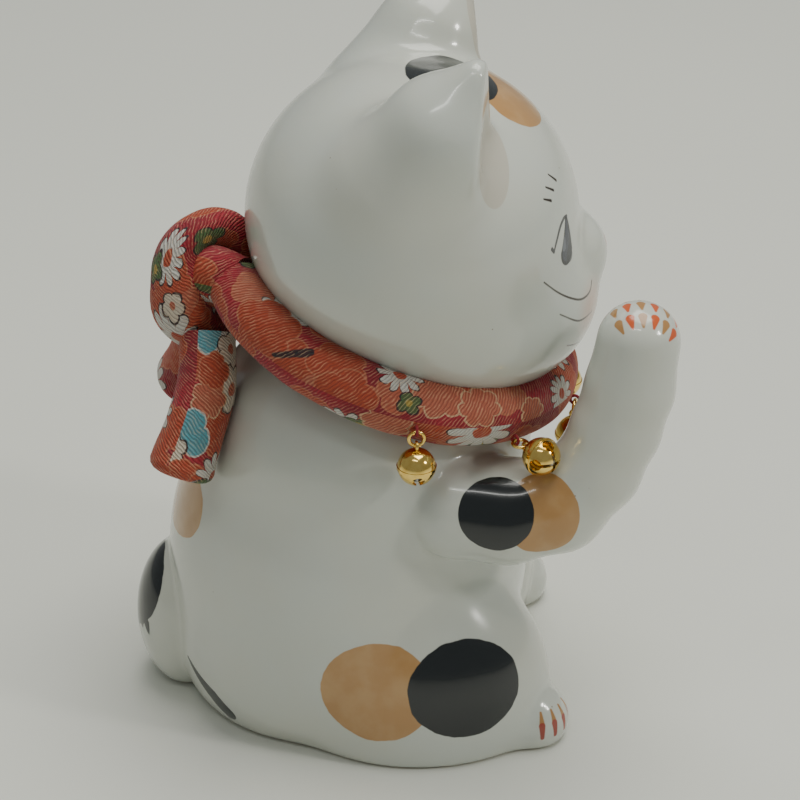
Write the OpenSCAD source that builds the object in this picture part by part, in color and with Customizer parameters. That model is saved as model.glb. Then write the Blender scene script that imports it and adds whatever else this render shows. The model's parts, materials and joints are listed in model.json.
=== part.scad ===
// A seated, beckoning ceramic cat with a padded cloth collar and six small bells.
// The cat sits on z = 0, looks along -Y and raises its right arm, on the -X side.

/* [Head] */
// Width of the head across the cheeks
head_width = 86; // [82:1:90]
// Depth of the skull from brow to nape
head_depth = 76; // [72:1:80]
// Height of the skull
head_height = 70; // [66:1:74]
// Height of the middle of the skull above the base
head_level = 122; // [120:1:124]
// Height of the ear tips above the base
ear_tip_level = 171; // [168:1:175]

/* [Body] */
// Width of the lower body, without the haunches
body_width = 84; // [80:1:88]
// Depth of the lower body, without the haunches
body_depth = 86; // [82:1:90]
// Thickness of the cast wall
wall = 3.6; // [3:0.1:4.5]
// Diameter of the casting vent in the base
vent_diameter = 7; // [5:1:10]
// Height of the tip of the raised paw above the base
paw_level = 114.8; // [112:0.2:118]

/* [Collar] */
// Width of the collar ring, measured on the middle of its tube
collar_width = 73; // [72:0.5:74]
// Depth of the collar ring, measured on the middle of its tube
collar_depth = 72; // [71:0.5:73]
// Diameter of the padded tube
collar_tube = 14.4; // [13.6:0.2:14.8]
// Thickness of the cloth with its turned seam
cloth = 1.2; // [1:0.1:1.6]

/* [Bells] */
// Diameter of a bell
bell_diameter = 8.6; // [8:0.1:9]
// Thickness of the brass of a bell
bell_wall = 0.45; // [0.35:0.05:0.6]
// Diameter of the ball inside a bell
pellet_diameter = 3; // [2.4:0.1:3.2]
// Diameter of the wire of a jump ring
ring_wire = 0.8; // [0.7:0.05:0.9]
// Diameter of a jump ring, measured on the middle of its wire
ring_diameter = 3.4; // [3.2:0.1:4]

/* [Hidden] */

smooth = 36;
limb_smooth = 24;

// Ceramic lumps, each a centre and the three half sizes
skull_centre = [0, -10.7, head_level];
skull_size = [head_width, head_depth, head_height] / 2;
jaw_centre = [0, -19.2, head_level - 18];
jaw_size = [37, 34.5, 23.5];
muzzle_centre = [0, -45, head_level - 10];
muzzle_size = [12, 10.5, 10];
trunk_centre = [0, 4.5, 34];
trunk_size = [body_width / 2, body_depth / 2, 52];
chest_centre = [0, -1, 68];
chest_size = [39, 38, 30];
rump_centre = [0, 10, 14];
rump_size = [39, 37, 30];
haunch_centre = [25.5, -12, 12];
haunch_size = [21.5, 30.5, 31];
foot_stages = [[30, -28, 4.5, 10.5], [31, -38, 4.5, 8.8]];
tail_centre = [0, 44, 17];
tail_size = [14, 12, 20];

// Ear, from its tip down into the head: a centre and a radius for each stage
ear_stages = [[30.5, -23, ear_tip_level - 4.4, 4.4], [28, -16, 153, 13], [23, -8, 138, 18]];
ear_front = -25.6;
ear_lean = 0.03;

// Arms, from the shoulder to the paw
raised_stages = [
    [-31, -20, 63, 12.4], [-33.5, -31, 62.6, 11.9], [-35, -42.6, 65.2, 10.8], [-35.5, -50.9, 74.6, 9.9],
    [-35, -55, 84.6, 9.9], [-34.5, -57.7, 94.3, 9.8], [-34, -59.3, paw_level - 9.3, 9.3]
];
lowered_stages = [
    [31, -10, 64.5, 11.5], [33, -18, 56, 12], [33, -26, 46, 11], [29, -32, 35, 10], [23, -35.5, 25, 9.5]
];
arm_wall = 3;

// Collar: a level ellipse, tipped down towards the front and sagging at its sides
collar_centre = [0, -6.5, 95.5];
collar_slope = 0.35;
collar_sag = 3;
collar_gap = 20;
collar_steps = 44;
collar_sides = 14;
tube_radius = collar_tube / 2;
fit_gap = 0.05;

knot_loop = [
    [8, 27.5, 110, 5.2], [4, 32.6, 117, 4.9], [0, 37.8, 118, 4.8], [-3, 42, 114.6, 5.5],
    [-4.5, 42.4, 107.4, 6.8], [-4.5, 42, 100.6, 7], [-1, 37.5, 95.5, 6.6], [4, 34, 100, 6]
];
knot_cross = [[-8, 28.5, 109, 6], [-4, 35, 108.5, 6.5], [0, 37.5, 105, 7]];
tail_stages = [
    [-7, 36.2, 95.5, 6.8], [-13.3, 36.8, 86.5, 7], [-18.7, 39.6, 77.5, 7.2], [-22, 42.6, 69.5, 7.8]
];

// Bells hang on the front half of the collar, from the right side round to the left
bell_angles = [85.5, 52.5, 17.5, -17.5, -52.5, -85.5];
// The second bell lies outwards on the raised arm, the others hang plumb
bell_swings = [0, 88, 0, 0, 0, 0];
// How far round the tube below its widest line each stitch is
bell_hangs = [14, 35, 25, 25, 35, 14];
thread = 0.7;
stitch_radius = 1.05;
stitch_depth = 0.9;
loop_wire = 0.7;
loop_radius = 0.95;
running_gap = 0.06;
crimp = 0.15;
crimp_height = 0.7;
slot_width = 0.8;
slot_reach = 62;
slot_end = pellet_diameter - 0.2;
ring_radius = ring_diameter / 2;
bell_radius = bell_diameter / 2;
loop_drop = ring_diameter + loop_radius - (loop_wire + ring_wire) / 2 - running_gap;
bell_drop = loop_drop + loop_radius - 0.1 + bell_radius;

function flip(p) = [-p[0], p[1], p[2], p[3]];
function centre_of(stage) = [stage[0], stage[1], stage[2]];

// Middle of the collar tube at an angle from the front, positive towards the right side
function collar_point(t) =
    let (y = -collar_depth / 2 * cos(t))
    [-collar_width / 2 * sin(t), collar_centre[1] + y,
     collar_centre[2] + collar_slope * y - collar_sag * pow(sin(t), 2)];
// Level direction that leads outwards from the collar at that angle
function collar_out(t) =
    let (v = [-sin(t) / collar_width, -cos(t) / collar_depth, 0]) v / norm(v);
function collar_along(t) =
    let (v = collar_point(t + 0.5) - collar_point(t - 0.5)) v / norm(v);
function collar_ring(t, r) =
    let (out = collar_out(t), up = cross(collar_along(t), out))
    [for (k = [0:collar_sides - 1])
        let (a = 360 * k / collar_sides) collar_point(t) + r * (cos(a) * out - sin(a) * up)];

// Frame on the middle of the tube: first axis along the collar, second outwards
function collar_frame(t) =
    let (p = collar_point(t), a = collar_along(t), out = collar_out(t), up = cross(a, out))
    [[a[0], out[0], up[0], p[0]], [a[1], out[1], up[1], p[1]], [a[2], out[2], up[2], p[2]]];

// Where a bell's jump ring is held by its stitch
function hanger(number) =
    let (t = bell_angles[number - 1], below = bell_hangs[number - 1])
    collar_point(t) + (tube_radius + stitch_depth) * (cos(below) * collar_out(t)
    - [0, 0, sin(below)]);

module ellipsoid(centre, size) {
    translate(centre)
        scale(size)
            sphere(r = 1, $fn = smooth);
}

// Balls joined one to the next by their hulls
module limb(stages, less = 0) {
    for (k = [0:len(stages) - 2])
        hull() {
            translate(centre_of(stages[k]))
                sphere(r = stages[k][3] - less, $fn = limb_smooth);
            translate(centre_of(stages[k + 1]))
                sphere(r = stages[k + 1][3] - less, $fn = limb_smooth);
        }
}

module both_sides() {
    children();
    mirror([1, 0, 0])
        children();
}

module ear() {
    difference() {
        limb(ear_stages);
        multmatrix([[1, 0, 0, 0], [0, 1, -ear_lean, ear_front + ear_lean * 165], [0, 0, 1, 0]])
            translate([0, -50, 100])
                cube([100, 50, 100]);
    }
}

// Closed tube along the collar between two angles
module collar_tube_solid(radius, from, to) {
    n = collar_sides;
    rings = collar_steps;
    points = [for (i = [0:rings]) each collar_ring(from + (to - from) * i / rings, radius)];
    sides = [
        for (i = [0:rings - 1], k = [0:n - 1])
            let (a = i * n + k, b = i * n + (k + 1) % n) each [[a, b, b + n], [a, b + n, a + n]]
    ];
    first = [for (k = [n - 1:-1:0]) k];
    last = [for (k = [0:n - 1]) rings * n + k];
    polyhedron(points, concat(sides, [first, last]), convexity = 6);
}

// Seat that the collar presses into between head and shoulders, all the way round
module collar_seat() {
    n = collar_sides;
    rings = collar_steps;
    points = [for (i = [0:rings - 1]) each collar_ring(360 * i / rings, tube_radius + fit_gap)];
    faces = [
        for (i = [0:rings - 1], k = [0:n - 1])
            let (a = i * n + k, b = i * n + (k + 1) % n, next = (i + 1) % rings * n,
                 c = next + k, d = next + (k + 1) % n)
                each [[a, b, d], [a, d, c]]
    ];
    polyhedron(points, faces, convexity = 6);
}

module ceramic_outside() {
    difference() {
        union() {
            ellipsoid(skull_centre, skull_size);
            ellipsoid(jaw_centre, jaw_size);
            ellipsoid(muzzle_centre, muzzle_size);
            both_sides()
                ear();
            ellipsoid(trunk_centre, trunk_size);
            ellipsoid(chest_centre, chest_size);
            ellipsoid(rump_centre, rump_size);
            both_sides() {
                ellipsoid(haunch_centre, haunch_size);
                limb(foot_stages);
            }
            limb(lowered_stages);
        }
        translate([-100, -100, -100])
            cube([200, 200, 100]);
        collar_seat();
    }
}

module ceramic_inside() {
    thin = [wall, wall, wall];
    difference() {
        union() {
            ellipsoid(skull_centre, skull_size - thin);
            ellipsoid(trunk_centre, trunk_size - thin);
            ellipsoid(chest_centre, chest_size - 2.2 * thin);
            translate([0, -8, 70])
                cylinder(d = 36, h = 36, $fn = smooth);
        }
        translate([-100, -100, -100 + wall + 1])
            cube([200, 200, 100]);
    }
}

module body_shell() {
    color("white")
        difference() {
            ceramic_outside();
            ceramic_inside();
            translate([0, 0, -1])
                cylinder(d = vent_diameter, h = 3 * wall, $fn = limb_smooth);
        }
}

module raised_arm() {
    color("white")
        difference() {
            limb(raised_stages);
            limb(raised_stages, less = arm_wall);
            ceramic_outside();
        }
}

module tail() {
    color("white")
        difference() {
            ellipsoid(tail_centre, tail_size);
            ceramic_outside();
            translate([-100, -100, -100])
                cube([200, 200, 100]);
        }
}

// Cloth sleeve: an outer and an inner skin joined at its two ends
module collar_band() {
    n = collar_sides;
    rings = collar_steps;
    from = -180 + collar_gap;
    span = 360 - 2 * collar_gap;
    outer = [for (i = [0:rings]) each collar_ring(from + span * i / rings, tube_radius)];
    inner = [for (i = [0:rings]) each collar_ring(from + span * i / rings, tube_radius - cloth)];
    shift = len(outer);
    skins = [
        for (i = [0:rings - 1], k = [0:n - 1])
            let (a = i * n + k, b = i * n + (k + 1) % n, c = a + shift, d = b + shift)
                each [[a, b, b + n], [a, b + n, a + n], [c, d + n, d], [c, c + n, d + n]]
    ];
    ends = [
        for (k = [0:n - 1])
            let (a = k, b = (k + 1) % n, e = rings * n)
                each [[a, b + shift, b], [a, a + shift, b + shift],
                      [a + e, b + e, b + e + shift], [a + e, b + e + shift, a + e + shift]]
    ];
    color("firebrick")
        polyhedron(concat(outer, inner), concat(skins, ends), convexity = 8);
}

module collar_filling() {
    color("ivory")
        collar_tube_solid(tube_radius - cloth - fit_gap, -180 + collar_gap, 180 - collar_gap);
}

module knot_strands() {
    limb(knot_loop);
    limb(knot_cross);
}

// The space on the sleeve's side of its two ends, which the knot stays out of
module sleeve_side() {
    reach = 40;
    for (side = [-1, 1])
        multmatrix(collar_frame(side * (180 - collar_gap)))
            translate([side > 0 ? -reach + fit_gap : -fit_gap, -reach / 2, -reach / 2])
                cube(reach);
}

module collar_knot() {
    color("firebrick")
        difference() {
            knot_strands();
            ceramic_outside();
            sleeve_side();
        }
}

// One hanging end of the collar, side 1 for the right and -1 for the left
module collar_end(side) {
    color("firebrick")
        difference() {
            limb([for (stage = tail_stages) side > 0 ? stage : flip(stage)]);
            knot_strands();
            ceramic_outside();
        }
}

module collar_tail_right() {
    collar_end(1);
}

module collar_tail_left() {
    collar_end(-1);
}

// Places a bell's parts: origin at the hanger, +X along the collar, -Y outwards, +Z up
module at_bell(number) {
    out = collar_out(bell_angles[number - 1]);
    translate(hanger(number))
        rotate([0, 0, atan2(out[1], out[0]) + 90])
            children();
}

module swung(number) {
    at_bell(number)
        rotate([-bell_swings[number - 1], 0, 0])
            children();
}

module torus(radius, thickness) {
    rotate_extrude($fn = 48)
        translate([radius, 0])
            circle(d = thickness, $fn = 24);
}

// Thread loop through the cloth, round the top of the jump ring
module stitch(number) {
    color("darkred")
        at_bell(number)
            translate([0, 0, stitch_radius - (thread + ring_wire) / 2 - running_gap])
                rotate([0, 90, 0])
                    torus(stitch_radius, thread);
}

module ring(number) {
    color("gold")
        swung(number)
            translate([0, 0, -ring_radius])
                rotate([90, 0, 0])
                    torus(ring_radius, ring_wire);
}

module bell_upper(number) {
    rim = bell_radius + crimp;
    color("gold")
        swung(number) {
            difference() {
                translate([0, 0, -bell_drop])
                    rotate_extrude($fn = 48)
                        difference() {
                            union() {
                                intersection() {
                                    circle(r = bell_radius, $fn = 48);
                                    square([bell_radius, bell_radius]);
                                }
                                translate([bell_radius - bell_wall, 0])
                                    square([bell_wall + crimp, crimp_height / 2]);
                            }
                            circle(r = bell_radius - bell_wall, $fn = 48);
                        }
            }
            difference() {
                translate([0, 0, -loop_drop])
                    rotate([0, 90, 0])
                        torus(loop_radius, loop_wire);
                translate([0, 0, -bell_drop])
                    sphere(r = bell_radius - bell_wall / 2, $fn = 48);
            }
        }
}

module bell_lower(number) {
    inside = bell_radius - bell_wall;
    color("gold")
        swung(number)
            translate([0, 0, -bell_drop])
                difference() {
                    rotate_extrude($fn = 48)
                        difference() {
                            union() {
                                intersection() {
                                    circle(r = bell_radius, $fn = 48);
                                    translate([0, -bell_radius])
                                        square([bell_radius, bell_radius]);
                                }
                                translate([inside, -crimp_height / 2])
                                    square([bell_wall + crimp, crimp_height / 2]);
                            }
                            circle(r = inside, $fn = 48);
                        }
                    for (turn = [0, 90])
                        rotate([0, 0, turn]) {
                            translate([0, 0, -bell_radius * cos(slot_reach) - bell_radius])
                                cube([2 * bell_radius * sin(slot_reach), slot_width,
                                      2 * bell_radius], center = true);
                            for (lean = [-slot_reach, slot_reach])
                                rotate([0, lean, 0])
                                    translate([0, 0, -bell_radius - 1])
                                        cylinder(d = slot_end, h = 2.5, $fn = 24);
                        }
                }
}

module bell_pellet(number) {
    color("silver")
        swung(number)
            translate([0, 0, -bell_drop - bell_radius + bell_wall + pellet_diameter / 2
                       + running_gap])
                sphere(d = pellet_diameter, $fn = 36);
}

body_shell();
raised_arm();
tail();
collar_band();
collar_filling();
collar_knot();
collar_tail_right();
collar_tail_left();
stitch(1);  // stitch_1
ring(1);  // ring_1
bell_upper(1);  // bell_1_upper
bell_lower(1);  // bell_1_lower
bell_pellet(1);  // bell_1_pellet
stitch(2);  // stitch_2
ring(2);  // ring_2
bell_upper(2);  // bell_2_upper
bell_lower(2);  // bell_2_lower
bell_pellet(2);  // bell_2_pellet
stitch(3);  // stitch_3
ring(3);  // ring_3
bell_upper(3);  // bell_3_upper
bell_lower(3);  // bell_3_lower
bell_pellet(3);  // bell_3_pellet
stitch(4);  // stitch_4
ring(4);  // ring_4
bell_upper(4);  // bell_4_upper
bell_lower(4);  // bell_4_lower
bell_pellet(4);  // bell_4_pellet
stitch(5);  // stitch_5
ring(5);  // ring_5
bell_upper(5);  // bell_5_upper
bell_lower(5);  // bell_5_lower
bell_pellet(5);  // bell_5_pellet
stitch(6);  // stitch_6
ring(6);  // ring_6
bell_upper(6);  // bell_6_upper
bell_lower(6);  // bell_6_lower
bell_pellet(6);  // bell_6_pellet
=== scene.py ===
"""Looks of a glazed ceramic cat with a flowered cloth collar and six small bells."""

import functools
import json
import math

import bpy
import numpy as np
import openvdb
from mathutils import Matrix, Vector

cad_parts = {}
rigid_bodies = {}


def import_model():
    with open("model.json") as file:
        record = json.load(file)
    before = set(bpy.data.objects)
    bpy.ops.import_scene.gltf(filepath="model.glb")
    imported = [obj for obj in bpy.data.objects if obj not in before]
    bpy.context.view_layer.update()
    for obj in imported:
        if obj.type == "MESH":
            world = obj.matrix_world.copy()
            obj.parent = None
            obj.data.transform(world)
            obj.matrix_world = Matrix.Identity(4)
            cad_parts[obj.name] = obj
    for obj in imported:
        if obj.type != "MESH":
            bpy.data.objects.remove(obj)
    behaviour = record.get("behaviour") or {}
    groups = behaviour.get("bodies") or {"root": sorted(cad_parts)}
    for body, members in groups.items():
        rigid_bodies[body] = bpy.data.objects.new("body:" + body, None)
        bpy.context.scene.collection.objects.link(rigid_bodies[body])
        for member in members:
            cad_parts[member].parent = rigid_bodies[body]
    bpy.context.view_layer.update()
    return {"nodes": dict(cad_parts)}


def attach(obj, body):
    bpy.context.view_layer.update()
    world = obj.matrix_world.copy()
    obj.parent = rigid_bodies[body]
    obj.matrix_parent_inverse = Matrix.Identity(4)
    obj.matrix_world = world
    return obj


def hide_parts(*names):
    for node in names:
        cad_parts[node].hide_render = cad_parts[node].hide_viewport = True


MM = 0.001

SKULL, SKULL_SIZE = (0, -10.7, 122), (43, 38, 35)
JAW, JAW_SIZE = (0, -19.2, 104), (37, 34.5, 23.5)
MUZZLE, MUZZLE_SIZE = (0, -45, 112), (12, 10.5, 10)
EAR_STAGES = [(30.5, -23, 166.6, 4.4), (28, -16, 153, 13), (23, -8, 138, 18)]
EAR_HOLLOW, EAR_HOLLOW_SIZE = (28, -30.5, 150), (8.5, 7, 15)
EAR_FRONT, EAR_FRONT_WAY = (28, -25.6, 165), (0.2, -1, -0.03)
TRUNK, TRUNK_SIZE = (0, 4.5, 34), (42, 43, 52)
CHEST, CHEST_SIZE = (0, -1, 68), (39, 38, 30)
RUMP, RUMP_SIZE = (0, 10, 14), (39, 37, 30)
HAUNCH, HAUNCH_SIZE = (25.5, -12, 12), (21.5, 30.5, 31)
FOOT_STAGES = [(30, -28, 4.5, 10.5), (31, -38, 4.5, 8.8)]
TAIL, TAIL_SIZE = (0, 44, 17), (14, 12, 20)
LOWERED_STAGES = [
    (31, -10, 64.5, 11.5),
    (33, -18, 56, 12),
    (33, -26, 46, 11),
    (29, -32, 35, 10),
    (23, -35.5, 25, 9.5),
]
RAISED_STAGES = [
    (-31, -20, 63, 12.4),
    (-33.5, -31, 62.6, 11.9),
    (-35, -42.6, 65.2, 10.8),
    (-35.5, -50.9, 74.6, 9.9),
    (-35, -55, 84.6, 9.9),
    (-34.5, -57.7, 94.3, 9.8),
    (-34, -59.3, 105.5, 9.3),
]
COLLAR_WIDTH, COLLAR_DEPTH = 73, 72
COLLAR_MIDDLE = (0, -6.5, 95.5)
COLLAR_SLOPE, COLLAR_SAG = 0.35, 3
TUBE_RADIUS = 7.2
SEAT_RADIUS = 6.4
SLEEVE_END = math.radians(167)
VENT_RADIUS, VENT_DEPTH = 3.5, 14
GRID_LOW, GRID_HIGH, GRID_CELL = (-52, -74, -3), (52, 62, 176), 1.0

# Cloth strands: x, y, z and radius of each stage
KNOT_LOOP = [
    (8, 27.5, 110, 5.2),
    (4, 32.6, 117, 4.9),
    (0, 37.8, 118, 4.8),
    (-3, 42, 114.6, 5.5),
    (-4.5, 42.4, 107.4, 6.8),
    (-4.5, 42, 100.6, 7),
    (-1, 37.5, 95.5, 6.6),
    (4, 34, 100, 6),
]
KNOT_CROSS = [(-8, 28.5, 109, 6), (-4, 35, 109.5, 6.8), (0, 37.5, 105, 7)]
COLLAR_END = [
    (-7, 36.2, 95.5, 6.8),
    (-13.3, 36.8, 86.5, 7),
    (-18.7, 39.6, 77.5, 7.2),
    (-22, 42.6, 69.5, 7.8),
]
# Turned-in edge at a strand's end: how far out each ring lies, and its share of the radius
HEM_REACH = (1.2, 2.0, 2.4, 2.2, 1.2, -2.0)
HEM_SHARE = (0.95, 0.84, 0.7, 0.56, 0.44, 0.3)
FOLDS = 14
SLEEVE_FOLD, KNOT_FOLD, END_FOLD = 0.09, 0.2, 0.16
BELLS = 6

WHITE = (0.6, 0.63, 0.58)
BLACK = (0.006, 0.009, 0.011)
OCHRE = (0.46, 0.25, 0.09)
CRIMSON = (0.36, 0.012, 0.026)
VERMILION = (0.42, 0.06, 0.022)
SALMON = (0.46, 0.12, 0.065)
CREAM = (0.62, 0.55, 0.44)
TEAL = (0.09, 0.34, 0.4)
LEAF = (0.06, 0.13, 0.04)
MUSTARD = (0.4, 0.3, 0.05)
INK = (0.008, 0.01, 0.014)
WHITE_WARM = (0.61, 0.62, 0.55)
OCHRE_PALE = (0.52, 0.31, 0.13)
CRIMSON_DEEP = (0.26, 0.008, 0.02)
# Painted shade in the grooves of the crepe
CRIMSON_GROOVE_SHADE = (0.1, 0.006, 0.01)
DAISY_WHITE = (0.6, 0.6, 0.55)
# Pale gold of the print's outlines, also the painted highlight on the crepe's threads
PALE_GOLD_PRINT_AND_HIGHLIGHT = (0.62, 0.38, 0.22)
OUTLINE = (0.5, 0.16, 0.08)
CLAW_TAN = (0.42, 0.22, 0.08)
CLAW_ORANGE = (0.62, 0.11, 0.03)
BRICK = (0.33, 0.05, 0.03)
BROWN = (0.03, 0.018, 0.012)
EYE_RIM = (0.02, 0.02, 0.028)
EYE_GREY = (0.045, 0.052, 0.075)
# Colour of the painted highlight on each iris
EYE_HIGHLIGHT = (0.22, 0.24, 0.28)
EYE_DARK = (0.012, 0.014, 0.024)
SKIN_PINK = (0.58, 0.27, 0.18)
NOSE_PINK = (0.52, 0.08, 0.06)
EAR_SHADE_BEIGE = (0.42, 0.3, 0.19)
GOLD_PAINT = (0.5, 0.3, 0.08)
SPECK = (0.3, 0.26, 0.2)
BISQUE = (0.62, 0.56, 0.47)
GOLD = (0.92, 0.66, 0.2)
GOLD_DEEP = (0.8, 0.52, 0.13)
STEEL = (0.55, 0.55, 0.56)
THREAD_RED = (0.3, 0.02, 0.03)
COTTON = (0.75, 0.72, 0.64)
COAT = 0.45
FLOOR = (0.78, 0.79, 0.73)
FLOOR_SHADE = (0.75, 0.76, 0.7)
ROOM = (0.84, 0.88, 0.85)
ROOM_LIGHT = 0.3

# Painted patches: middle and half sizes of the ellipsoid that each lies in
OCHRE_SPOTS = [
    ((-45, -38, 68), (10, 8.3, 9.8)),
    ((-43.5, -1, 20.7), (12, 13.2, 12.6)),
    ((1, -32, 150), (13, 10, 8)),
    ((-7, 43, 53.5), (14, 9, 9)),
    ((44, -4, 50), (10, 11, 11)),
    ((24, 38, 30), (10, 9, 10)),
]
BLACK_SPOTS = [
    ((-43.5, -27.8, 67.7), (8.6, 8.5, 8.6)),
    ((-43.5, -21.3, 21), (13, 13.6, 12)),
    ((-1, -21, 157), (13, 12, 7)),
    ((0, 55, 27), (12, 9, 12)),
    ((44, 12, 44), (10, 10, 10)),
    ((45, -16, 22), (12, 11, 10)),
]
# Painted shade: a beige tint where the ear hollow lies in shade; middle and half sizes of its
# ellipsoid
EAR_HOLLOW_SHADE, EAR_HOLLOW_SHADE_SIZE = (28, -26.5, 152), (10, 5, 17)

# Face paint, with x as the distance from the middle, so that one row paints both sides.
# Each of these strokes has two ends and its half widths there.
EYE_OUTLINE = ((19, -44, 128.9), (20.6, -44.1, 121.7), 0.7, 3.3)
IRIS = ((19.2, -44, 128.2), (20.7, -44.1, 121.9), 0.35, 2.5)
# Painted highlight: a paler glint on each iris
EYE_GLINT = ((21.4, -43.8, 125.6), (21.9, -43.5, 123.2), 0.3, 1.0)
PUPIL = ((18.9, -45, 123), (19.5, -45, 120.2), 0.5, 1.8)
LID_HOOK = ((26.1, -40.8, 124), (26.8, -40.4, 125), 0.4, 0.5)
NOSE = ((0, -55.5, 114.2), (0, -56, 112.4), 2.0, 1.2)
LIPS = ((0, -53.5, 103.5), (0, -53, 101.2), 2.6, 1.5)
# Lines through points, and the short strokes of the brows
LID = [
    (18.4, -44.2, 129.2),
    (20.1, -43.3, 129.3),
    (22.6, -42.3, 128.2),
    (25, -41.3, 125.7),
    (26.1, -40.8, 124),
]
BROWS = [
    ((18, -39.9, 139), (16.7, -41.7, 137)),
    ((21.4, -39.1, 137.5), (19.7, -41, 136)),
    ((24, -38.5, 135.8), (22.2, -40.2, 134.6)),
]
WHISKERS = [
    [(26.8, -42.5, 109), (23.1, -46.1, 105.6), (20.1, -48.2, 104.2), (14.5, -50.9, 103.5)],
    [(24.3, -44.5, 99.9), (21.4, -46.2, 98.6), (17.9, -47.8, 97.5), (13, -49.4, 96.1)],
]
MOUTH = [
    (29.5, -38.5, 118.3),
    (25.5, -42.3, 113.6),
    (22.4, -45.5, 110.7),
    (19.5, -47.8, 109),
    (16.4, -49.6, 108.5),
    (13.9, -50.5, 108.8),
    (12.1, -50.9, 110),
]
# Painted shade in black, in the crease between the tail and the body: ends and half widths of its
# two strokes
TAIL_CREASE_SHADE = [
    ((-18, 43.3, 14.6), (-25.5, 37.5, 8.5), 0.4, 2.2),
    ((-25.5, 37.5, 8.5), (-28, 34.5, 4.5), 2.2, 2.6),
]
BRISTLES, FIRST_BRISTLE, BRISTLE_STEP = 8, -8.4, 2.4
# Drops on the raised paw: each row's polar angles in degrees, and their turns about the tip
CLAW_ROWS = [(93, 78), (64, 48), (122, 108)]
CLAWS, FIRST_CLAW, CLAW_STEP = 6, -38, 19.5
# Strokes on each foot: turns from the front outwards and lifts of their points, in degrees
TOE_TURNS, TOE_LIFTS = (8, 31, 54, 77), (38, 17, -4)
BLUSH, BLUSH_SIZE = (14, -51, 104), (12, 8, 9)

# Printed motifs: petals, depth and roundness of the notches, colours of petal, outline, middle
KINDS = {
    "daisy": (11.0, 0.9, 0.3, DAISY_WHITE, INK, VERMILION),
    "plum": (5.0, 0.3, 0.55, CREAM, INK, SALMON),
    "orange": (5.0, 0.24, 0.6, VERMILION, OUTLINE, VERMILION),
    "salmon": (7.0, 0.25, 0.6, SALMON, PALE_GOLD_PRINT_AND_HIGHLIGHT, SALMON),
    "teal": (3.0, 0.35, 0.8, TEAL, DAISY_WHITE, TEAL),
    "leaf": (4.0, 0.4, 0.7, LEAF, INK, MUSTARD),
}
# Each motif's kind, place along and round the cloth in millimetres, radius and turn
MOTIFS = [
    ("orange", 178, 7, 6.5, 0.3),
    ("orange", 174, 1, 6.5, 1.0),
    ("orange", 195, 6, 7.5, 0.0),
    ("salmon", 156, 8, 6.5, 0.5),
    ("salmon", 147, 5, 5.0, 0.2),
    ("salmon", 165, 43, 5.0, 0.9),
    ("daisy", 165, 11, 5.5, 0.2),
    ("leaf", 162, 4, 2.6, 0.6),
    ("daisy", 146, 44, 7.2, 0.0),
    ("salmon", 134, 2, 3.2, 0.4),
    ("daisy", 123, 2, 4.5, 0.5),
    ("daisy", 324, 14, 5.0, 0.3),
    ("leaf", 317, 6, 4.5, 0.2),
    ("leaf", 326, 18, 3.0, 1.2),
    ("plum", 333, 12, 3.0, 0.1),
    ("teal", 451, 43, 4.6, 0.3),
    ("plum", 454, 36, 4.4, 0.5),
    ("plum", 462, 35, 5.0, 1.3),
    ("salmon", 465, 41, 4.5, 0.8),
    ("orange", 459, 41, 4.0, 0.4),
    ("teal", 473, 43, 5.2, 1.1),
    ("plum", 477, 46, 3.6, 0.8),
    ("orange", 481, 42, 3.0, 0.6),
]
# Slim dark leaf: where it starts and ends on the cloth, and its half widths there
DARK_LEAF = ((184.2, 6.5, 0), (189.9, 1.7, 0), 0.95, 0.6)
THREAD_PITCH, THREAD_SLANT = 0.8, 0.55
# How far the print is moved along the sleeve, in centimetres
SLEEVE_PRINT = -0.45

# Lamps: name, place, width and height, power, colour
LAMPS = [
    ("ceiling", (0.15, -0.15, 1.2), (0.9, 0.7), 11.0, (1.0, 0.99, 0.93)),
    ("front", (-0.45, -1.0, 0.8), (0.14, 0.14), 3.2, (1.0, 0.98, 0.92)),
    ("tube", (-0.45, 0.15, 0.95), (0.5, 0.04), 0.8, (1.0, 1.0, 0.95)),
]

# Camera: what it points at and how far off in metres, turn to the back and rise in degrees
CAMERA_AIM, CAMERA_AWAY = (0, -0.008, 0.0736), 0.682
CAMERA_TURN, CAMERA_RISE, CAMERA_LENS = 2.2, 28.5, 130.5
LAMP_AIM = (0, 0, 0.08)


# ---- ceramic shape, in millimetres ----


def ellipsoid(points, centre, size):
    """Distance to an ellipsoid, exact enough near its surface."""
    offset = points - np.float32(centre)
    size = np.float32(size)
    near = np.linalg.norm(offset / size, axis=-1)
    far = np.linalg.norm(offset / (size * size), axis=-1)
    return near * (near - 1) / np.maximum(far, 1e-6)


def round_cone(points, first, second):
    """Distance to the hull of two balls, each x, y, z, radius."""
    start, radius = np.float32(first[:3]), first[3]
    along = np.float32(second[:3]) - start
    length = float(np.linalg.norm(along))
    along = along / length
    taper = (radius - second[3]) / length
    side = math.sqrt(1 - taper * taper)
    offset = points - start
    lengthwise = offset @ along
    across = np.linalg.norm(offset - lengthwise[..., None] * along, axis=-1)
    place = np.clip(lengthwise - across * taper / side, 0, length)
    away = np.sqrt(across**2 + (lengthwise - place) ** 2)
    return away - (radius - taper * place)


def soft_min(a, b, width):
    """The nearer of two distances, rounded where they meet."""
    h = np.maximum(width - np.abs(a - b), 0) / width
    return np.minimum(a, b) - h * h * h * width / 6


def soft_max(a, b, width):
    return -soft_min(-a, -b, width)


def limb(points, stages, width):
    parts = [round_cone(points, a, b) for a, b in zip(stages, stages[1:])]
    return functools.reduce(lambda a, b: soft_min(a, b, width), parts)


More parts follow.
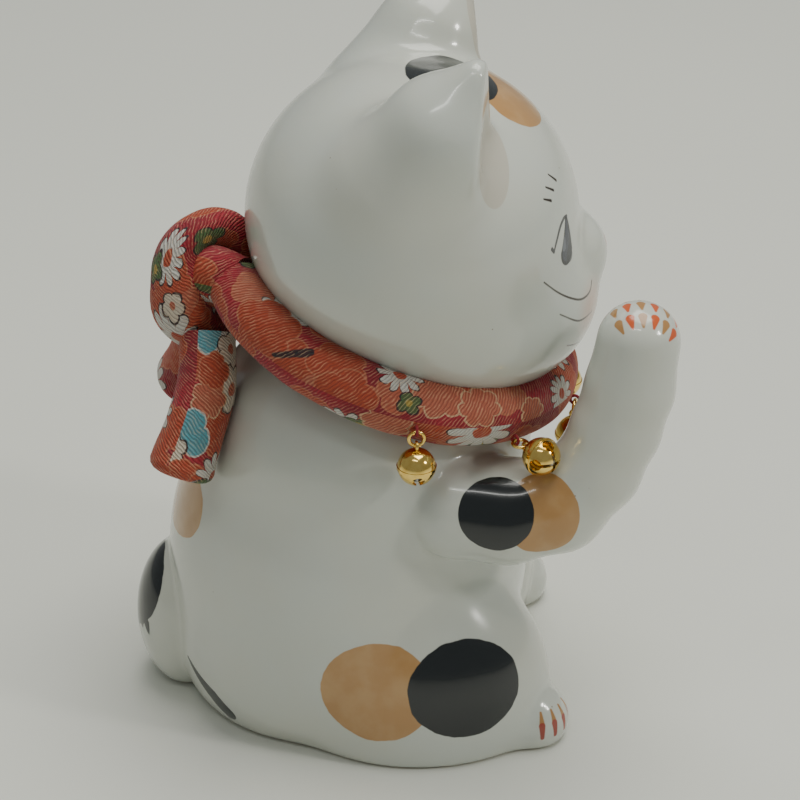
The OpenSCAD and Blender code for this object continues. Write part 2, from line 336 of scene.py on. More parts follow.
def ear(mirrored):
    """A horn with a flat front and a shallow hollow in it."""
    shape = limb(mirrored, EAR_STAGES, 4)
    front = (mirrored - np.float32(EAR_FRONT)) @ np.float32(EAR_FRONT_WAY)
    shape = soft_max(shape, front, 2)
    return soft_max(shape, -ellipsoid(mirrored, EAR_HOLLOW, EAR_HOLLOW_SIZE), 1.5)


def head(points, mirrored):
    shape = ellipsoid(points, SKULL, SKULL_SIZE)
    shape = soft_min(shape, ellipsoid(points, JAW, JAW_SIZE), 10)
    shape = soft_min(shape, ellipsoid(points, MUZZLE, MUZZLE_SIZE), 4)
    return soft_min(shape, ear(mirrored), 7)


def body(points, mirrored):
    shape = ellipsoid(points, TRUNK, TRUNK_SIZE)
    shape = soft_min(shape, ellipsoid(points, CHEST, CHEST_SIZE), 10)
    shape = soft_min(shape, ellipsoid(points, RUMP, RUMP_SIZE), 8)
    shape = soft_min(shape, ellipsoid(mirrored, HAUNCH, HAUNCH_SIZE), 8)
    shape = soft_min(shape, limb(mirrored, FOOT_STAGES, 3), 3)
    shape = soft_min(shape, limb(points, LOWERED_STAGES, 3), 4)
    shape = soft_min(shape, ellipsoid(points, TAIL, TAIL_SIZE), 1.5)
    return soft_min(shape, limb(points, RAISED_STAGES, 3), 2.5)


def collar_centre(angle):
    """Middle of the collar tube, at an angle from the front towards the right side."""
    forward = -COLLAR_DEPTH / 2 * np.cos(angle)
    side = np.sin(angle)
    return np.stack(
        [
            -COLLAR_WIDTH / 2 * side,
            COLLAR_MIDDLE[1] + forward,
            COLLAR_MIDDLE[2] + COLLAR_SLOPE * forward - COLLAR_SAG * side**2,
        ],
        axis=-1,
    )


def collar_seat(points):
    ring = collar_centre(np.linspace(0, 2 * math.pi, 49))
    stages = [(*place, SEAT_RADIUS) for place in ring]
    parts = (round_cone(points, a, b) for a, b in zip(stages, stages[1:]))
    return functools.reduce(np.minimum, parts)


def vent(points):
    width = np.hypot(points[..., 0], points[..., 1]) - VENT_RADIUS
    return np.maximum(width, points[..., 2] - VENT_DEPTH)


def ceramic(points):
    mirrored = np.concatenate([np.abs(points[..., :1]), points[..., 1:]], axis=-1)
    shape = soft_min(head(points, mirrored), body(points, mirrored), 4)
    shape = soft_max(shape, -points[..., 2], 1.5)
    near = (np.abs(shape) < 9) & (np.abs(points[..., 2] - COLLAR_MIDDLE[2]) < 26)
    shape[near] = soft_max(shape[near], -collar_seat(points[near]), 1)
    return soft_max(shape, -vent(points), 0.6)


# ---- meshes ----


def make_object(name, points, faces, material):
    mesh = bpy.data.meshes.new(name)
    mesh.from_pydata((np.asarray(points, float) * MM).tolist(), [], faces)
    mesh.polygons.foreach_set("use_smooth", [True] * len(mesh.polygons))
    mesh.materials.append(material)
    mesh.update()
    made = bpy.data.objects.new(name, mesh)
    bpy.context.scene.collection.objects.link(made)
    return made


def slope(points, field, step=0.05):
    """Gradient of a distance field."""
    moves = np.eye(3, dtype=np.float32) * step
    sides = [(field(points + move) - field(points - move)) / (2 * step) for move in moves]
    return np.stack(sides, axis=-1)


def skin(field, lowest, highest, cell):
    """Points and quads of the surface where a distance field is zero."""
    axes = [np.arange(a, b, cell, dtype=np.float32) for a, b in zip(lowest, highest)]
    grid = np.stack(np.meshgrid(*axes, indexing="ij"), axis=-1)
    volume = openvdb.FloatGrid(background=5.0)
    volume.copyFromArray(np.clip(field(grid), -5, 5).astype(np.float32))
    points, quads = volume.convertToQuads()
    points = (points * cell + np.float32(lowest)).astype(np.float32)
    for _ in range(3):
        way = slope(points, field)
        size = np.maximum((way * way).sum(axis=-1, keepdims=True), 0.2)
        move = field(points)[:, None] * way / size
        points -= np.clip(move, -0.4 * cell, 0.4 * cell)
    corners = points[quads[:, :3]]
    across = np.cross(corners[:, 1] - corners[:, 0], corners[:, 2] - corners[:, 0])
    outward = (across * slope(corners.mean(axis=1), field)).sum()
    return points, (quads if outward > 0 else quads[:, ::-1]).tolist()


def make_ceramic():
    points, quads = skin(ceramic, GRID_LOW, GRID_HIGH, GRID_CELL)
    made = make_object("porcelain_cat", points, quads, porcelain())
    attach(made, "root")
    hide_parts("body_shell", "raised_arm", "tail")
    return made


def smooth_path(stages, steps):
    """Catmull-Rom curve through stages of x, y, z, radius."""
    knots = np.array(stages, float)
    knots = np.vstack([2 * knots[0] - knots[1], knots, 2 * knots[-1] - knots[-2]])
    spans = len(stages) - 1
    places = np.linspace(0, spans, steps)
    first = np.minimum(places.astype(int), spans - 1)
    t = (places - first)[:, None]
    a, b, c, d = (knots[first + k] for k in range(4))
    return 0.5 * (
        2 * b + (c - a) * t + (2 * a - 5 * b + 4 * c - d) * t**2 + (3 * b - a - 3 * c + d) * t**3
    )


def carried_frames(path, start):
    """Across and upward directions that follow a path without turning about it."""
    along = np.gradient(path, axis=0)
    along /= np.linalg.norm(along, axis=1, keepdims=True)
    across = np.zeros_like(path)
    previous = np.array(start, float)
    for k, way in enumerate(along):
        previous = previous - way * (previous @ way)
        previous /= np.linalg.norm(previous)
        across[k] = previous
    return across, np.cross(along, across)


def wrinkles(lengths, turns, depth, seed):
    """Soft folds of a stuffed cloth tube, as a radius change."""
    rng = np.random.default_rng(seed)
    total = np.zeros((len(lengths), len(turns)))
    for _ in range(FOLDS):
        lobes = rng.integers(1, 5)
        pitch = rng.uniform(0.12, 0.5)
        shift, skew = rng.uniform(0, 2 * math.pi, 2)
        wave = lobes * turns[None, :] + pitch * lengths[:, None] + shift
        gate = 0.5 + 0.5 * np.sin(0.1 * lengths[:, None] + skew)
        total += gate * (1 - 2 * np.abs(np.sin(wave / 2)) ** 0.7)
    return depth * total / FOLDS


def make_tube(name, path, radii, frames, material, flatness, depth, seed, sides=72):
    """A stuffed cloth tube. Its UV, in centimetres, runs along it and round it."""
    across, upward = frames
    turns = np.linspace(0, 2 * math.pi, sides + 1)[:-1]
    steps = np.linalg.norm(np.diff(path, axis=0), axis=1)
    lengths = np.concatenate([[0], np.cumsum(steps)])
    swell = 1 + wrinkles(lengths, turns, depth, seed)
    wide = (radii[:, None] * swell)[..., None]
    flat = np.broadcast_to(np.asarray(flatness, float), len(path))[:, None, None]
    points = (
        path[:, None, :]
        + wide * np.cos(turns)[None, :, None] * across[:, None, :] * flat
        + wide * np.sin(turns)[None, :, None] * upward[:, None, :]
    )
    rings, rows = len(path), []
    for i in range(rings - 1):
        for k in range(sides):
            j = (k + 1) % sides
            rows.append((i * sides + k, (i + 1) * sides + k, (i + 1) * sides + j, i * sides + j))
    made = make_object(name, points.reshape(-1, 3), rows, material)
    around = turns * TUBE_RADIUS
    uv = made.data.uv_layers.new(name="cloth")
    flatmap = []
    for i in range(rings - 1):
        for k in range(sides):
            far = around[k] + TUBE_RADIUS * 2 * math.pi / sides
            for u, v in (
                (lengths[i], around[k]),
                (lengths[i + 1], around[k]),
                (lengths[i + 1], far),
                (lengths[i], far),
            ):
                flatmap += [u / 10, v / 10]
    uv.data.foreach_set("uv", flatmap)
    return made


def tucked(path, radii):
    """Adds a turned-in edge to the far end of a tube."""
    way = (path[-1] - path[-2]) / np.linalg.norm(path[-1] - path[-2])
    path = np.vstack([path, path[-1] + np.array(HEM_REACH)[:, None] * way])
    return path, np.concatenate([radii, radii[-1] * np.array(HEM_SHARE)])


def make_strand(name, stages, node, first, depth, seed, hemmed):
    """A strand of the tied collar. first is where its print starts, in centimetres."""
    curve = smooth_path(stages, 90)
    path, radii = curve[:, :3], curve[:, 3]
    frames = carried_frames(path, (-1, 0.3, 0))
    flatness = 1.0
    if hemmed:
        path, radii = tucked(path, radii)
        extra = len(path) - len(curve)
        frames = [np.vstack([f, np.repeat(f[-1:], extra, axis=0)]) for f in frames]
        flatness = 1 + 0.12 * np.linspace(0, 1, len(path))
    made = make_tube(name, path, radii, frames, cloth(), flatness, depth, seed)
    move_print(made, first)
    return finish_cloth(made, node)


def move_print(made, first):
    """Moves the print along a tube, by first in centimetres."""
    uv = made.data.uv_layers["cloth"].data
    values = np.zeros(len(uv) * 2, np.float32)
    uv.foreach_get("uv", values)
    values[::2] += first
    uv.foreach_set("uv", values)


def finish_cloth(made, node):
    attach(made, "root")
    if node:
        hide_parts(node)
    return made


def make_collar():
    angles = np.linspace(-SLEEVE_END, SLEEVE_END, 272)
    path = collar_centre(angles)
    along = np.gradient(path, axis=0)
    along /= np.linalg.norm(along, axis=1, keepdims=True)
    out = np.stack(
        [-np.sin(angles) / COLLAR_WIDTH, -np.cos(angles) / COLLAR_DEPTH, 0 * angles], axis=-1
    )
    out /= np.linalg.norm(out, axis=1, keepdims=True)
    frames = (out, np.cross(along, out))
    radii = np.full(len(path), TUBE_RADIUS)
    made = make_tube("collar_sleeve", path, radii, frames, cloth(), 1.0, SLEEVE_FOLD, 3)
    move_print(made, SLEEVE_PRINT)
    return finish_cloth(made, "collar_band")


def make_knot():
    make_strand("knot_loop", KNOT_LOOP, "collar_knot", 30, KNOT_FOLD, 5, False)
    make_strand("knot_cross", KNOT_CROSS, "", 40, KNOT_FOLD, 8, False)
    make_strand("collar_end_right", COLLAR_END, "collar_tail_right", 45, END_FOLD, 11, True)
    left = [(-x, y, z, r) for x, y, z, r in COLLAR_END]
    make_strand("collar_end_left", left, "collar_tail_left", 55, END_FOLD, 17, True)


# ---- materials ----


class Graph:
    """Adds shader nodes to a tree and links them."""

    def __init__(self, tree):
        self.tree = tree

    def node(self, kind, values=(), **settings):
        made = self.tree.nodes.new("ShaderNode" + kind)
        for key, value in settings.items():
            setattr(made, key, value)
        for key, value in dict(values).items():
            self.feed(made.inputs[key], value)
        return made

    def feed(self, socket, value):
        if isinstance(value, bpy.types.NodeSocket):
            self.tree.links.new(value, socket)
        elif socket.type == "RGBA" and len(value) == 3:
            socket.default_value = (*value, 1)
        else:
            socket.default_value = value

    def math(self, operation, *values):
        return self.node("Math", enumerate(values), operation=operation).outputs[0]

    def vector(self, operation, *values):
        made = self.node("VectorMath", enumerate(values), operation=operation)
        return made.outputs["Value" if operation in ("LENGTH", "DOT_PRODUCT") else "Vector"]

    def rise(self, value, low, high):
        """0 at low and 1 at high, smooth between."""
        made = self.node("MapRange", interpolation_type="SMOOTHSTEP")
        for key, given in zip(("Value", "From Min", "From Max"), (value, low, high)):
            self.feed(made.inputs[key], given)
        return made.outputs[0]

    def mix(self, amount, first, second):
        made = self.node("Mix", data_type="RGBA")
        for place, given in ((0, amount), (6, first), (7, second)):
            self.feed(made.inputs[place], given)
        return made.outputs[2]

    def noise(self, place, scale, detail=2.0, roughness=0.5):
        values = {"Vector": place, "Scale": scale, "Detail": detail, "Roughness": roughness}
        return self.node("TexNoise", values).outputs["Fac"]

    def most(self, masks):
        return functools.reduce(lambda a, b: self.math("MAXIMUM", a, b), masks)


def new_group(name, inputs, outputs):
    tree = bpy.data.node_groups.new(name, "ShaderNodeTree")
    for key, kind in inputs:
        tree.interface.new_socket(key, in_out="INPUT", socket_type=kind)
    for key in outputs:
        tree.interface.new_socket(key, in_out="OUTPUT", socket_type="NodeSocketFloat")
    return tree, tree.nodes.new("NodeGroupInput"), tree.nodes.new("NodeGroupOutput")


@functools.cache
def stroke_group():
    """A brush stroke between two points, with its own radius at each."""
    vector, number = "NodeSocketVector", "NodeSocketFloat"
    inputs = [("Place", vector), ("From", vector), ("To", vector), ("Start", number)]
    tree, given, out = new_group("brush_stroke", [*inputs, ("End", number)], ["Mask"])
    g = Graph(tree)
    place, start, end, thick, thin = given.outputs[:5]
    offset = g.vector("SUBTRACT", place, start)
    along = g.vector("SUBTRACT", end, start)
    share = g.math(
        "DIVIDE", g.vector("DOT_PRODUCT", offset, along), g.vector("DOT_PRODUCT", along, along)
    )
    share = g.node("Clamp", {0: share}).outputs[0]
    scaled = g.node("VectorMath", {0: along, "Scale": share}, operation="SCALE").outputs[0]
    away = g.vector("LENGTH", g.vector("SUBTRACT", offset, scaled))
    radius = g.node("Mix", {0: share, 2: thick, 3: thin}).outputs[0]
    gap = g.math("SUBTRACT", away, radius)
    g.feed(out.inputs[0], g.rise(g.math("MULTIPLY", gap, -1.0), -0.16, 0.16))
    return tree


def stroke(g, place, start, end, thick, thin):
    made = g.node("Group", node_tree=stroke_group())
    for socket, value in zip(made.inputs, (place, start, end, thick, thin)):
        g.feed(socket, value)
    return made.outputs[0]


def line(g, place, points, thick, thin=None):
    """A brushed line through points, widest in its middle."""
    thin = thin if thin is not None else 0.45 * thick
    last = len(points) - 1
    widths = [thin + (thick - thin) * math.sin(math.pi * k / last) for k in range(last + 1)]
    stages = [(*point, width) for point, width in zip(points, widths)]
    stages = smooth_path(stages, 3 * last + 1).tolist()
    rows = zip(stages, stages[1:])
    return g.most([stroke(g, place, a[:3], b[:3], a[3], b[3]) for a, b in rows])


def spot(g, place, wobble, centre, size):
    """A painted patch: where the surface lies within an ellipsoid, its edge a little uneven."""
    offset = g.vector("DIVIDE", g.vector("SUBTRACT", place, centre), size)
    away = g.math("ADD", g.vector("LENGTH", offset), wobble)
    return g.rise(g.math("MULTIPLY", away, -1.0), -1.012, -0.988)


def new_material(name):
    made = bpy.data.materials.new(name)
    made.use_nodes = True
    tree = made.node_tree
    return made, Graph(tree), tree.nodes["Principled BSDF"]


def millimetres(g):
    """The object's own place, in the millimetres of the constants above."""
    place = g.node("TexCoord").outputs["Object"]
    return g.node("VectorMath", {0: place, "Scale": 1000.0}, operation="SCALE").outputs[0]


def mirrored_place(g, place):
    """The same place on the right and the left side."""
    x, y, z = g.node("SeparateXYZ", {0: place}).outputs
    return g.node("CombineXYZ", {0: g.math("ABSOLUTE", x), 1: y, 2: z}).outputs[0]


def on_paw(polar, turn):
    """Point on the tip of the raised paw: polar from -X, turn about X from straight up."""
    x, y, z, radius = RAISED_STAGES[-1]
    a, b = math.radians(polar), math.radians(turn)
    side = radius * math.sin(a)
    return (x - radius * math.cos(a), y - side * math.sin(b), z + side * math.cos(b))


def paint_claws(g, place, colour):
    """Rows of drops over the paw tip, by turns tan and orange."""
    for top, tip in CLAW_ROWS:
        drops = []
        for k in range(CLAWS):
            turn = FIRST_CLAW + CLAW_STEP * k
            drops.append(stroke(g, place, on_paw(top, turn), on_paw(tip, turn), 1.05, 0.3))
        colour = g.mix(g.most(drops[::2]), colour, CLAW_TAN)
        colour = g.mix(g.most(drops[1::2]), colour, CLAW_ORANGE)
    return colour


def paint_toes(g, place, colour):
    """Four strokes on each foot, gold above and brick red below."""
    x, y, z, radius = FOOT_STAGES[-1]
    upper, lower = [], []
    for turn in TOE_TURNS:
        a = math.radians(turn)
        way = Vector((math.sin(a), -math.cos(a), 0))
        points = []
        for lift in TOE_LIFTS:
            b = math.radians(lift)
            flat = way * (radius * math.cos(b))
            points.append((x + flat.x, y + flat.y, z + radius * math.sin(b)))
        upper.append(stroke(g, place, points[0], points[1], 0.3, 0.75))
        lower.append(stroke(g, place, points[1], points[2], 0.8, 0.5))
    colour = g.mix(g.most(upper), colour, CLAW_TAN)
    return g.mix(g.most(lower), colour, BRICK)


def paint_eyes(g, face, rim, colour):
    """Grey-blue drops with a dark rim and a painted highlight, and the lid drawn outside each."""
    iris = stroke(g, face, *IRIS)
    # Painted highlight on each iris
    light = stroke(g, face, *EYE_GLINT)
    pupil = stroke(g, face, *PUPIL)
    colour = g.mix(rim, colour, EYE_RIM)
    colour = g.mix(iris, colour, EYE_GREY)
    colour = g.mix(g.math("MULTIPLY", light, 0.5), colour, EYE_HIGHLIGHT)
    colour = g.mix(g.math("MULTIPLY", pupil, 0.75), colour, EYE_DARK)
    lid = line(g, face, LID, 0.42, 0.3)
    hook = stroke(g, face, *LID_HOOK)
    return g.mix(g.most([lid, hook]), colour, EYE_RIM)


def paint_face(g, face, rim, colour):
    """Blush, eyes, brows, whiskers, mouth, nose and lips, the same on both sides."""
    offset = g.vector("DIVIDE", g.vector("SUBTRACT", face, BLUSH), BLUSH_SIZE)
    blush = g.rise(g.math("MULTIPLY", g.vector("LENGTH", offset), -1.0), -1.0, -0.2)
    colour = g.mix(g.math("MULTIPLY", blush, 0.55), colour, SKIN_PINK)
    colour = paint_eyes(g, face, rim, colour)
    marks = [stroke(g, face, a, b, 0.22, 0.36) for a, b in BROWS]
    marks += [line(g, face, points, 0.24, 0.14) for points in WHISKERS]
    marks.append(line(g, face, MOUTH, 0.26, 0.2))
    colour = g.mix(g.most(marks), colour, BROWN)
    return g.mix(g.most([stroke(g, face, *row) for row in (NOSE, LIPS)]), colour, NOSE_PINK)


def paint_spots(g, place, colour):
    wobble = g.math("MULTIPLY", g.math("SUBTRACT", g.noise(place, 0.22), 0.5), 0.07)
    wash = g.noise(place, 0.14, 3.0)
    tan = g.mix(g.rise(wash, 0.35, 0.7), OCHRE, OCHRE_PALE)
    tan_spots = [spot(g, place, wobble, *row) for row in OCHRE_SPOTS]
    colour = g.mix(g.most(tan_spots), colour, tan)
    black_spots = [spot(g, place, wobble, *row) for row in BLACK_SPOTS]
    return g.mix(g.most(black_spots), colour, BLACK)


def paint_tail(g, place, colour):
    """Brushed hairs at the lower edge of the tail's black, dark over gold, and painted shade in the
    crease beside the tail.
    """
    gold, dark = [], []
    for k in range(BRISTLES):
        side = FIRST_BRISTLE + BRISTLE_STEP * k
        back = TAIL[1] + TAIL_SIZE[1] + 0.5 - 0.045 * side * side
        drop = 11.5 + 1.6 * math.sin(k * 2.1)
        spread = 1.12 * side
        start = (side, back, 18.5)
        dark.append(stroke(g, place, start, (spread, back - 2.6, drop), 1.25, 0.12))
        start = (side + 1.2, back - 1, 15)
        gold.append(stroke(g, place, start, (spread + 1.4, back - 4, drop - 3), 0.8, 0.15))
    # Painted shade in the crease beside the tail, in black
    dark += [stroke(g, place, *row) for row in TAIL_CREASE_SHADE]
    colour = g.mix(g.most(gold), colour, GOLD_PAINT)
    return g.mix(g.most(dark), colour, BLACK)


def porcelain():
    made, g, shader = new_material("painted_porcelain")
    place = millimetres(g)
    face = mirrored_place(g, place)
    tone = g.rise(g.noise(place, 0.03, 3.0), 0.3, 0.7)
    colour = g.mix(tone, WHITE, WHITE_WARM)
    specks = g.node("TexVoronoi", {"Vector": place, "Scale": 0.11}).outputs["Distance"]
    colour = g.mix(g.rise(g.math("MULTIPLY", specks, -1.0), -0.03, -0.012), colour, SPECK)
    # Painted shade in the ear hollow, mixed in as a faint beige tint
    hollow = spot(g, face, 0.0, EAR_HOLLOW_SHADE, EAR_HOLLOW_SHADE_SIZE)
    colour = g.mix(g.math("MULTIPLY", hollow, 0.32), colour, EAR_SHADE_BEIGE)
    colour = paint_spots(g, place, colour)
    colour = paint_tail(g, place, colour)
    rim = stroke(g, face, *EYE_OUTLINE)
    colour = paint_face(g, face, rim, colour)
    colour = paint_claws(g, place, colour)
    colour = paint_toes(g, face, colour)
    height = g.node("SeparateXYZ", {0: place}).outputs[2]
    bisque = g.rise(height, 0.5, 0.25)
    colour = g.mix(bisque, colour, BISQUE)
    g.feed(shader.inputs["Base Color"], colour)
    streaks = g.noise(place, 0.4, 4.0)
    rough = g.math("MULTIPLY_ADD", streaks, 0.05, 0.16)
    rough = g.math("MULTIPLY_ADD", bisque, 0.5, rough)
    g.feed(shader.inputs["Roughness"], rough)
    shader.inputs["IOR"].default_value = 1.5
    g.feed(shader.inputs["Coat Weight"], g.math("MULTIPLY_ADD", rim, -COAT, COAT))
    shader.inputs["Coat Roughness"].default_value = 0.04
    shader.inputs["Subsurface Weight"].default_value = 0.12
    shader.inputs["Subsurface Radius"].default_value = (1.0, 0.9, 0.7)
    shader.inputs["Subsurface Scale"].default_value = 0.0015
    waves = g.noise(place, 0.07, 2.0)
    bump = g.node("Bump", {"Height": waves, "Strength": 0.12, "Distance": 0.0012})
    g.feed(shader.inputs["Normal"], bump.outputs[0])
    g.feed(shader.inputs["Coat Normal"], bump.outputs[0])
    return made


@functools.cache
def blossom_group():
    """A flower about a point: its petals, its outline and its middle."""
    vector, number = "NodeSocketVector", "NodeSocketFloat"
    inputs = [("Offset", vector), ("Radius", number), ("Petals", number)]
    inputs += [("Depth", number), ("Roundness", number), ("Turn", number)]
    tree, given, out = new_group("blossom", inputs, ["Petals", "Outline", "Middle"])
    g = Graph(tree)
    offset, radius, petals, depth, roundness, turn = given.outputs[:6]
    split = g.node("SeparateXYZ", {0: offset}).outputs
    away = g.vector("LENGTH", offset)
    angle = g.math("ADD", g.math("ARCTAN2", split[1], split[0]), turn)
    lobes = g.math("COSINE", g.math("MULTIPLY", angle, g.math("MULTIPLY", petals, 0.5)))
    lobes = g.math("POWER", g.math("ABSOLUTE", lobes), roundness)
    share = g.math("MULTIPLY_ADD", depth, g.math("SUBTRACT", lobes, 1.0), 1.0)
    edge = g.math("SUBTRACT", g.math("MULTIPLY", radius, share), away)
    g.feed(out.inputs[0], g.rise(edge, -0.12, 0.12))
    g.feed(out.inputs[1], g.rise(g.math("MULTIPLY", g.math("ABSOLUTE", edge), -1.0), -0.3, -0.12))
    core = g.math("SUBTRACT", g.math("MULTIPLY", radius, 0.27), away)
    g.feed(out.inputs[2], g.rise(core, -0.15, 0.15))
    return tree


def blossom(g, offset, radius, petals, depth, roundness, turn=0.0):
    made = g.node("Group", node_tree=blossom_group())
    for socket, value in zip(made.inputs, (offset, radius, petals, depth, roundness, turn)):
        g.feed(socket, value)
    return made.outputs


def stamp(g, colour, flower, petal, outline, middle):
    colour = g.mix(flower[0], colour, petal)
    colour = g.mix(flower[1], colour, outline)
    return g.mix(flower[2], colour, middle)


def scattered(g, cloth_place, cell, shift):
    """Offset in millimetres from the middle of a random cell, and the cell's own colour."""
    moved = g.vector("ADD", cloth_place, (shift, 0.7 * shift, 0))
    scaled = g.node("VectorMath", {0: moved, "Scale": 1 / cell}, operation="SCALE").outputs[0]
    cells = g.node("TexVoronoi", {"Vector": scaled, "Scale": 1.0}, voronoi_dimensions="2D")
    offset = g.vector("SUBTRACT", scaled, cells.outputs["Position"])
    offset = g.node("VectorMath", {0: offset, "Scale": cell}, operation="SCALE").outputs[0]
    return offset, g.node("SeparateColor", {0: cells.outputs["Color"]}).outputs


def gated(g, flower, gate):
    return [g.math("MULTIPLY", mask, gate) for mask in flower[:3]]


def print_ground(g, place):
    """Crimson ground under crowded orange blossoms, and a few of the other motifs."""
    colour = g.mix(g.rise(g.noise(place, 0.05, 2.0), 0.42, 0.58), CRIMSON, CRIMSON_DEEP)
    offset, chance = scattered(g, place, 13.0, 3.0)
    petal = g.mix(g.rise(chance[0], 0.72, 0.85), VERMILION, SALMON)
    flower = blossom(g, offset, 5.6, 5.0, 0.24, 0.6)
    colour = stamp(g, colour, flower, petal, OUTLINE, petal)
    offset, chance = scattered(g, place, 24.0, 41.0)
    gate = g.rise(chance[1], 0.5, 0.51)
    flower = gated(g, blossom(g, offset, 6.2, 11.0, 0.9, 0.3), gate)
    colour = stamp(g, colour, flower, DAISY_WHITE, INK, VERMILION)
    offset, chance = scattered(g, place, 27.0, 83.0)
    gate = g.rise(chance[2], 0.55, 0.56)
    leafy = g.mix(g.rise(chance[0], 0.5, 0.51), LEAF, TEAL)
    flower = gated(g, blossom(g, offset, 3.6, 3.0, 0.5, 0.6), gate)
    return stamp(g, colour, flower, leafy, INK, MUSTARD)


def cloth_blossoms(g, place, colour):
    """The motifs that show on the side of the collar."""
    for kind, across, around, radius, turn in MOTIFS:
        petals, depth, roundness, petal, outline, middle = KINDS[kind]
        offset = g.vector("SUBTRACT", place, (across, around, 0))
        flower = blossom(g, offset, radius, petals, depth, roundness, turn)
        colour = stamp(g, colour, flower, petal, outline, middle)
    return g.mix(stroke(g, place, *DARK_LEAF), colour, INK)


@functools.cache
def cloth():
    """Printed crepe: wavy slanting threads that catch the light, with a painted highlight on their
    tops and painted shade in the grooves between them.
    """
    made, g, shader = new_material("flowered_crepe")
    uv = g.node("UVMap", uv_map="cloth").outputs[0]
    flat = g.node("VectorMath", {0: uv, "Scale": 10.0}, operation="SCALE").outputs[0]
    wander = g.node("TexNoise", {"Vector": flat, "Scale": 0.35}).outputs["Color"]
    wander = g.vector("SUBTRACT", wander, (0.5, 0.5, 0.5))
    wander = g.vector("MULTIPLY", wander, (1.3, 1.3, 0))
    place = g.vector("ADD", flat, wander)
    colour = cloth_blossoms(g, place, print_ground(g, place))
    along, around, _ = g.node("SeparateXYZ", {0: place}).outputs
    slant = g.math("MULTIPLY_ADD", around, THREAD_SLANT, along)
    ridge = g.math("SINE", g.math("MULTIPLY", slant, 2 * math.pi / THREAD_PITCH))
    patchy = g.rise(g.noise(flat, 0.5, 2.0), 0.4, 0.62)
    # Painted highlight: pale gold on the thread tops, in patches
    raised = g.math("MULTIPLY", g.rise(ridge, 0.35, 1.0), patchy)
    # Painted shade: dark crimson in the grooves between the threads
    dark = g.math("MULTIPLY", g.rise(g.math("MULTIPLY", ridge, -1.0), 0.1, 1.0), 0.45)
    colour = g.mix(dark, colour, CRIMSON_GROOVE_SHADE)
    colour = g.mix(g.math("MULTIPLY", raised, 0.5), colour, PALE_GOLD_PRINT_AND_HIGHLIGHT)
    g.feed(shader.inputs["Base Color"], colour)
    shader.inputs["Roughness"].default_value = 0.72
    shader.inputs["Sheen Weight"].default_value = 0.12
    shader.inputs["Sheen Roughness"].default_value = 0.4
    fibres = g.noise(flat, 4.0, 3.0)
    height = g.math("MULTIPLY_ADD", fibres, 0.35, ridge)
    bump = g.node("Bump", {"Height": height, "Strength": 0.55, "Distance": 0.00022})
    g.feed(shader.inputs["Normal"], bump.outputs[0])
    return made


@functools.cache
def brass():
    made, g, shader = new_material("gold_plated_brass")
    place = millimetres(g)
    tone = g.rise(g.noise(place, 0.5, 3.0), 0.3, 0.75)
    g.feed(shader.inputs["Base Color"], g.mix(tone, GOLD, GOLD_DEEP))
    shader.inputs["Metallic"].default_value = 1.0
    rough = g.math("MULTIPLY_ADD", g.noise(place, 2.5, 4.0), 0.14, 0.06)
    g.feed(shader.inputs["Roughness"], rough)
    bump = g.node("Bump", {"Height": g.noise(place, 0.8, 2.0), "Strength": 0.2, "Distance": 0.0001})
    g.feed(shader.inputs["Normal"], bump.outputs[0])
    return made


@functools.cache
def plain(name, colour, roughness, metallic=0.0, scale=3.0):
    made, g, shader = new_material(name)
    fleck = g.noise(millimetres(g), scale, 3.0)
    g.feed(shader.inputs["Base Color"], g.mix(fleck, colour, tuple(0.75 * c for c in colour)))
    shader.inputs["Roughness"].default_value = roughness
    shader.inputs["Metallic"].default_value = metallic
    bump = g.node("Bump", {"Height": fleck, "Strength": 0.3, "Distance": 0.0001})
    g.feed(shader.inputs["Normal"], bump.outputs[0])
    return made


# ---- the bells, which keep their CAD shapes ----


def dress(node, material):
    node.data.materials.clear()
    node.data.materials.append(material)
    for face in node.data.polygons:
        face.material_index = 0


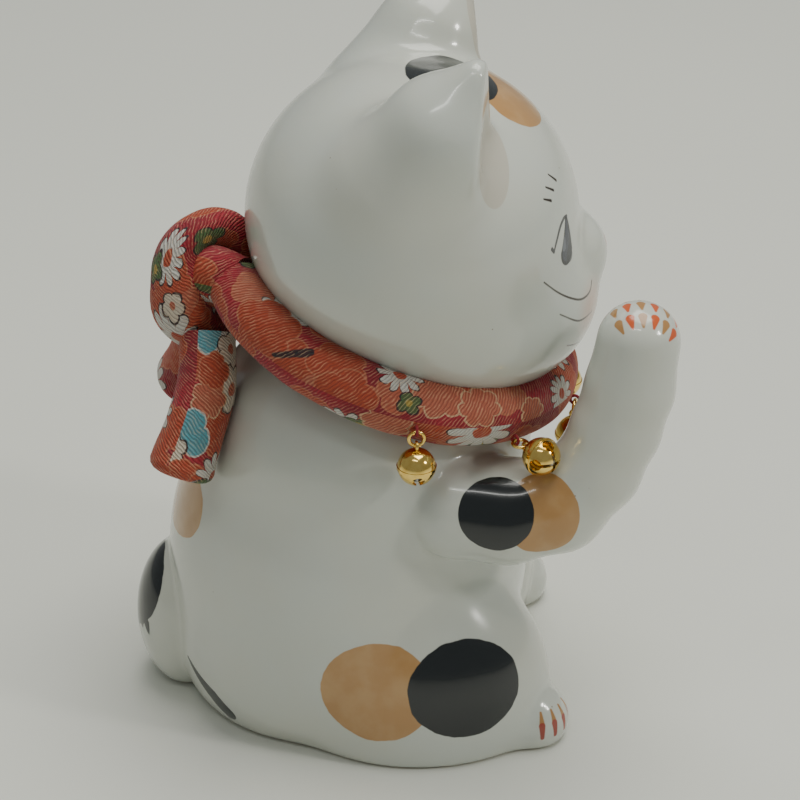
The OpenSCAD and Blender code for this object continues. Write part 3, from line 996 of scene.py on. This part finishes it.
def dress_bells(nodes):
    """Metal, thread and cotton for the pieces that keep their CAD shapes."""
    for k in range(1, BELLS + 1):
        for name in (f"ring_{k}", f"bell_{k}_upper", f"bell_{k}_lower"):
            dress(nodes[name], brass())
        dress(nodes[f"bell_{k}_pellet"], plain("bell_pellet_steel", STEEL, 0.35, 1.0))
        dress(nodes[f"stitch_{k}"], plain("sewing_thread", THREAD_RED, 0.85))
    dress(nodes["collar_filling"], plain("cotton_filling", COTTON, 0.95))


# ---- stage ----


def make_floor():
    bpy.ops.mesh.primitive_plane_add(size=6)
    floor = bpy.context.object
    floor.name = "floor"
    floor.location.z = -0.0002
    made, g, shader = new_material("pale_table")
    fleck = g.noise(g.node("TexCoord").outputs["Object"], 9.0, 3.0)
    g.feed(shader.inputs["Base Color"], g.mix(fleck, FLOOR, FLOOR_SHADE))
    shader.inputs["Roughness"].default_value = 0.6
    floor.data.materials.append(made)


def make_lamp(name, place, size, power, colour):
    data = bpy.data.lights.new(name, "AREA")
    data.shape = "RECTANGLE"
    data.size, data.size_y = size
    data.energy = power
    data.color = colour
    lamp = bpy.data.objects.new(name, data)
    lamp.location = place
    way = Vector(LAMP_AIM) - Vector(place)
    lamp.rotation_euler = way.to_track_quat("-Z", "Y").to_euler()
    bpy.context.scene.collection.objects.link(lamp)


def make_lights():
    for row in LAMPS:
        make_lamp(*row)
    world = bpy.data.worlds.new("room")
    world.use_nodes = True
    sky = world.node_tree.nodes["Background"]
    sky.inputs["Color"].default_value = (*ROOM, 1)
    sky.inputs["Strength"].default_value = ROOM_LIGHT
    bpy.context.scene.world = world


def make_camera():
    data = bpy.data.cameras.new("camera")
    data.lens = CAMERA_LENS
    data.sensor_width = 36
    data.clip_start = 0.01
    camera = bpy.data.objects.new("camera", data)
    around, above = math.radians(CAMERA_TURN), math.radians(CAMERA_RISE)
    way = Vector(
        (-math.cos(above) * math.cos(around), math.cos(above) * math.sin(around), math.sin(above))
    )
    camera.location = Vector(CAMERA_AIM) + CAMERA_AWAY * way
    camera.rotation_euler = (-way).to_track_quat("-Z", "Y").to_euler()
    bpy.context.scene.collection.objects.link(camera)
    bpy.context.scene.camera = camera


def clear_scene():
    for found in list(bpy.data.objects):
        bpy.data.objects.remove(found)


def main():
    clear_scene()
    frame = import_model()
    make_camera()
    make_ceramic()
    make_collar()
    make_knot()
    dress_bells(frame["nodes"])
    make_floor()
    make_lights()


main()
